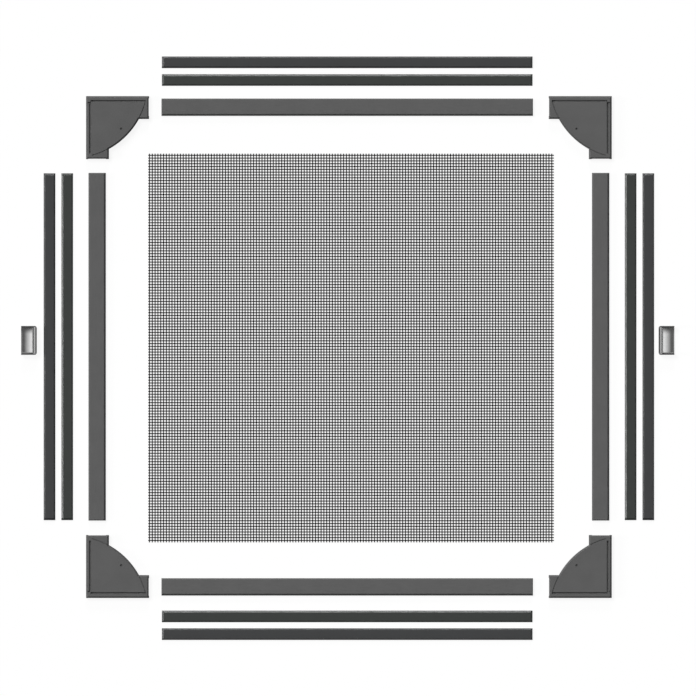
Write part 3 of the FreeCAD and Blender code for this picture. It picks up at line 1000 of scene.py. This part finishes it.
    def mesh(self) -> tuple[np.ndarray, np.ndarray]:
        """The handle as a closed skin: the surface, its sides and its foot.

        A grid of u (across) and v (along) is laid on the foot, with
        x = width * sin(u*pi/2)^rim_easing and y = reach * v^end_easing. Its ends follow the
        outline, whose half length is length/2, less the round corner near the rim. The
        skin's border drops to the foot, and the foot repeats the grid turned over.

        Returns:
            Points in millimetres from the open side's middle, and quads.
        """
        w, half, c = self.width_mm, self.length_mm / 2, self.corner_mm
        u = np.linspace(0, 1, self.columns)
        v = np.linspace(-1, 1, self.rows)
        x = w * np.sin(u * math.pi / 2) ** self.rim_easing
        inset = np.clip(x - (w - c), 0, c)
        reach = half - c + np.sqrt(np.maximum(c ** 2 - inset ** 2, 0.0))
        eased = np.sign(v) * np.abs(v) ** self.end_easing
        grid_x = np.broadcast_to(x[:, None], (self.columns, self.rows))
        grid_y = reach[:, None] * eased[None, :]
        top = self.surface(grid_x, grid_y)
        upper = np.stack((grid_x, grid_y, top), axis=-1)
        lower = np.stack((grid_x, grid_y, np.zeros_like(top)), axis=-1)
        points = np.concatenate((upper.reshape(-1, 3), lower.reshape(-1, 3)))
        number = np.arange(top.size).reshape(top.shape)
        face = np.stack((number[:-1, :-1], number[1:, :-1], number[1:, 1:], number[:-1, 1:]),
                        axis=-1).reshape(-1, 4)
        under = face[:, ::-1] + top.size
        border = np.concatenate((number[:-1, 0], number[-1, :-1], number[:0:-1, -1],
                                 number[0, :0:-1]))
        onward = np.roll(border, -1)
        sides = np.stack((border + top.size, onward + top.size, onward, border), axis=-1)
        return points, np.concatenate((face, under, sides))

    def pad(self, node: str, lateral: Side, foam: Material) -> Object:
        """A foam pad whose corners follow the handle's, closed by its two faces.

        Its outline is the node's rectangle with rounded corners, and its wall joins the
        outline at the foot to the same outline at the top.

        Args:
            node: the pad's node.
            lateral: the side of the layout that the handle lies on.
            foam: its material.

        Returns:
            The pad.
        """
        low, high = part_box(node)
        corners = np.array([(low.x, low.y), (high.x, low.y), (high.x, high.y), (low.x, high.y)])
        rim, outer = self.corner_mm * MM, self.pad_corner_mm * MM
        radii = [outer, rim, rim, outer] if lateral is Side.LEFT else [rim, outer, outer, rim]
        ring = rounded(corners, np.array(radii), self.pad_steps)
        count = len(ring)
        points = np.concatenate([np.column_stack((ring, np.full(count, z)))
                                 for z in (low.z, high.z)])
        number = np.arange(count)
        onward = np.roll(number, -1)
        walls = np.stack((number, onward, onward + count, number + count), axis=-1)
        caps = [number[::-1].tolist(), (number + count).tolist()]
        piece = add_piece(f"{node}_foam", points, walls, foam, caps)
        turn_outwards(piece)
        keep_faces_flat(piece)
        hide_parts(node)
        return piece

    def build(self) -> list[Object]:
        """Set both handles on their pads.

        Returns:
            The handles and the pads.
        """
        chrome, tape = HANDLE_CHROME.material(), TAPE_FOAM.material()
        made = []
        for lateral in (Side.LEFT, Side.RIGHT):
            node = f"handle_{lateral.value}"
            low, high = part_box(node)
            points, faces = self.mesh()
            middle, width = (low.y + high.y) / 2, self.width_mm * MM
            x, y, z = points.T * MM
            if lateral is Side.LEFT:
                placed_x, placed_y = high.x - width + x, middle + y
            else:
                placed_x, placed_y = low.x + width - x, middle - y
            placed = np.stack((placed_x, placed_y, low.z + z), axis=-1)
            piece = add_piece(f"{node}_scoop", placed, faces, chrome)
            turn_outwards(piece)
            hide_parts(node)
            made += [piece, self.pad(f"handle_pad_{lateral.value}", lateral, tape)]
        return made


@dataclass
class Studio:
    """White table, soft lamps towards the upper left, and the camera.

    Attributes:
        lens_mm: a very long lens, because the layout is drawn without perspective.
        sensor_mm: width of the camera's sensor.
        clip_m: how near and how far the camera sees.
        frame_mm: width of the table that the picture takes in, at the pieces' faces.
        face_z_mm: height of those faces.
        centre_mm: the point under the middle of the picture.
        key_tilt_deg: how far the main light leans from straight up, towards the upper left.
        key_power, key_soft_deg: its strength, and how wide it looks.
        rim_tilt_deg, rim_power, rim_soft_deg: the same for the two lights that graze the
            long edges.
        lamp_far_mm: how far from the middle the lamps are drawn.
        table_half_mm: half the table's width.
        table_gap_mm: how far it lies under the pieces, so that no two faces coincide.
        table_show: share of its full white that the table shows without light.
        table_bounce: sRGB hex of the table as the pieces' diffuse light sees it.
        ambient: the sky's strength in that light.
        screens: strength of the white screens that gloss and chrome see.
        overhead, horizon: strength of the ceiling between them, above and low down.
        backdrop: strength of the white that the camera sees behind the table.
        beside_x, beside_y: spans of x and y over which the side screens fade in.
        above_y: span of y over which the upper screen fades in.
        hem_z: span of z over which all screens end.
    """

    lens_mm: float = 1000.0
    sensor_mm: float = 36.0
    clip_m: tuple[float, float] = (0.1, 100.0)
    frame_mm: float = 696.0
    face_z_mm: float = 4.0
    centre_mm: tuple[float, float] = (0.3, 0.2)
    key_tilt_deg: float = 38.0
    key_power: float = 2.5
    key_soft_deg: float = 20.0
    rim_tilt_deg: float = 63.0
    rim_power: float = 1.1
    rim_soft_deg: float = 12.0
    lamp_far_mm: float = 2000.0
    table_half_mm: float = 6000.0
    table_gap_mm: float = 0.02
    table_show: float = 0.9
    table_bounce: str = "606060"
    ambient: float = 0.06
    screens: float = 1.0
    overhead: float = 0.12
    horizon: float = 0.03
    backdrop: float = 1.0
    beside_x: tuple[float, float] = (0.1, 0.75)
    beside_y: tuple[float, float] = (-0.5, -0.02)
    above_y: tuple[float, float] = (0.6, 0.95)
    hem_z: tuple[float, float] = (0.36, 0.48)

    def table(self) -> Object:
        """A plane that shows white and keeps a faint shadow.

        Camera, glossy and transmission rays see it glow, mixed with a lit white. Diffuse
        rays see a grey, so that it doesn't fill in the far edges of the pieces.

        Returns:
            The table.
        """
        material, tree = new_material("white_table")
        path = add_node(tree, "LightPath")
        plain = add_node(tree, "BsdfDiffuse", {"Color": srgb("ffffff")})
        glow = add_node(tree, "Emission", {"Color": srgb("ffffff"), "Strength": 1.0})
        shown = add_node(tree, "MixShader", {0: self.table_show, 1: plain, 2: glow})
        bounce = add_node(tree, "BsdfDiffuse", {"Color": srgb(self.table_bounce)})
        either = add_node(tree, "MixShader", {
            0: path.outputs["Is Diffuse Ray"], 1: shown, 2: bounce,
        })
        add_node(tree, "OutputMaterial", {"Surface": either})
        half, top = self.table_half_mm * MM, -self.table_gap_mm * MM
        corners = [(-half, -half, top), (half, -half, top), (half, half, top),
                   (-half, half, top)]
        data = bpy.data.meshes.new("table")
        data.from_pydata(corners, [], [(0, 1, 2, 3)])
        data.materials.append(material)
        plane = bpy.data.objects.new("table", data)
        bpy.context.scene.collection.objects.link(plane)
        return plane

    def world(self) -> None:
        """A sky in which metal sees white screens to the left, to the right and above.

        A direction (x, y, z) meets a side screen where |x| is large and y isn't negative,
        and the upper screen where y is near 1. All end at a lower edge, where z is small.
        The rest is a dim ceiling, darker towards the horizon. Diffuse rays see an even,
        dim sky, and the camera a white backdrop.
        """
        world = bpy.data.worlds.new("light_tent")
        bpy.context.scene.world = world
        world.use_nodes = True
        tree = world.node_tree
        tree.nodes.clear()
        place = add_node(tree, "TexCoord")
        parts = add_node(tree, "SeparateXYZ", {"Vector": place.outputs["Generated"]})
        sideways = add_node(tree, "Math", {0: parts.outputs["X"]}, operation="ABSOLUTE")
        spans = ((sideways, self.beside_x), (parts.outputs["Y"], self.beside_y),
                 (parts.outputs["Y"], self.above_y), (parts.outputs["Z"], self.hem_z))
        beside, side_edge, upper_screen, hem = (add_node(tree, "MapRange", {
            "Value": source, "From Min": least, "From Max": most,
        }) for source, (least, most) in spans)
        side_screens = add_node(tree, "Math", {0: beside, 1: side_edge}, operation="MULTIPLY")
        screen = add_node(tree, "Math", {0: side_screens, 1: upper_screen}, operation="MAXIMUM")
        both = add_node(tree, "Math", {0: screen, 1: hem}, operation="MULTIPLY")
        ceiling = add_node(tree, "MapRange", {
            "Value": parts.outputs["Z"], "To Min": self.horizon, "To Max": self.overhead,
        })
        level = add_node(tree, "Mix", {"Factor": both, "A": ceiling, "B": self.screens})
        path = add_node(tree, "LightPath")
        seen = add_node(tree, "Mix", {
            "Factor": path.outputs["Is Diffuse Ray"], "A": level, "B": self.ambient,
        })
        shown = add_node(tree, "Mix", {
            "Factor": path.outputs["Is Camera Ray"], "A": seen, "B": self.backdrop,
        })
        sky = add_node(tree, "Background", {"Color": srgb("ffffff"), "Strength": shown})
        add_node(tree, "OutputWorld", {"Surface": sky})

    @staticmethod
    def chrome_pieces() -> Collection:
        """The handles as pieces that no lamp shines on: the chrome sees the screens only.

        Returns:
            The collection, made at the first call.
        """
        name = "chrome_pieces"
        if name in bpy.data.collections:
            return bpy.data.collections[name]
        pieces = bpy.data.collections.new(name)
        for piece in bpy.data.objects:
            if piece.name.startswith("handle_") and piece.name.endswith("_scoop"):
                pieces.objects.link(piece)
        for entry in pieces.collection_objects:
            entry.light_linking.link_state = "EXCLUDE"
        return pieces

    def lamp(self, name: str, towards: Vector, tilt_deg: float, power: float,
             soft_deg: float) -> None:
        """A distant soft lamp, the same for every piece, that isn't seen in the chrome.

        Args:
            name: the lamp's name.
            towards: horizontal direction from the middle to the lamp.
            tilt_deg: how far it leans from straight up.
            power: its light on a face turned towards it, where pi is full white.
            soft_deg: how wide it looks.
        """
        data = bpy.data.lights.new(name, "SUN")
        data.energy = power
        data.angle = math.radians(soft_deg)
        lamp = bpy.data.objects.new(name, data)
        tilt = math.radians(tilt_deg)
        place = towards.normalized() * math.sin(tilt) + Vector((0, 0, math.cos(tilt)))
        lamp.location = place * (self.lamp_far_mm * MM)
        lamp.rotation_mode = "QUATERNION"
        lamp.rotation_quaternion = (-place).to_track_quat("-Z", "Y")
        bpy.context.scene.collection.objects.link(lamp)
        lamp.light_linking.receiver_collection = self.chrome_pieces()

    def camera(self) -> None:
        """A camera straight above the middle of the layout."""
        data = bpy.data.cameras.new("camera")
        data.lens = self.lens_mm
        data.sensor_width = self.sensor_mm
        data.clip_start, data.clip_end = self.clip_m
        camera = bpy.data.objects.new("camera", data)
        height = (self.frame_mm * self.lens_mm / self.sensor_mm + self.face_z_mm) * MM
        camera.location = (self.centre_mm[0] * MM, self.centre_mm[1] * MM, height)
        bpy.context.scene.collection.objects.link(camera)
        bpy.context.scene.camera = camera

    def build(self) -> list[Object]:
        """Set the camera, the sky, the lamps and the table.

        Returns:
            The table.
        """
        bpy.context.scene.view_settings.view_transform = "Standard"
        self.camera()
        self.world()
        left, upper = Vector((-1, 0, 0)), Vector((0, 1, 0))
        self.lamp("key_lamp", left + upper, self.key_tilt_deg, self.key_power,
                  self.key_soft_deg)
        for name, towards in (("left", left), ("upper", upper)):
            self.lamp(f"edge_lamp_{name}", towards, self.rim_tilt_deg, self.rim_power,
                      self.rim_soft_deg)
        return [self.table()]


def main() -> None:
    for group in (Rails(), MagnetStrips(), CornerCaps(), InsectMesh(), PullHandles(), Studio()):
        for piece in group.build():
            LOG.info("%s: %s", type(group).__name__, piece.name)


if __name__ == "__main__":
    main()
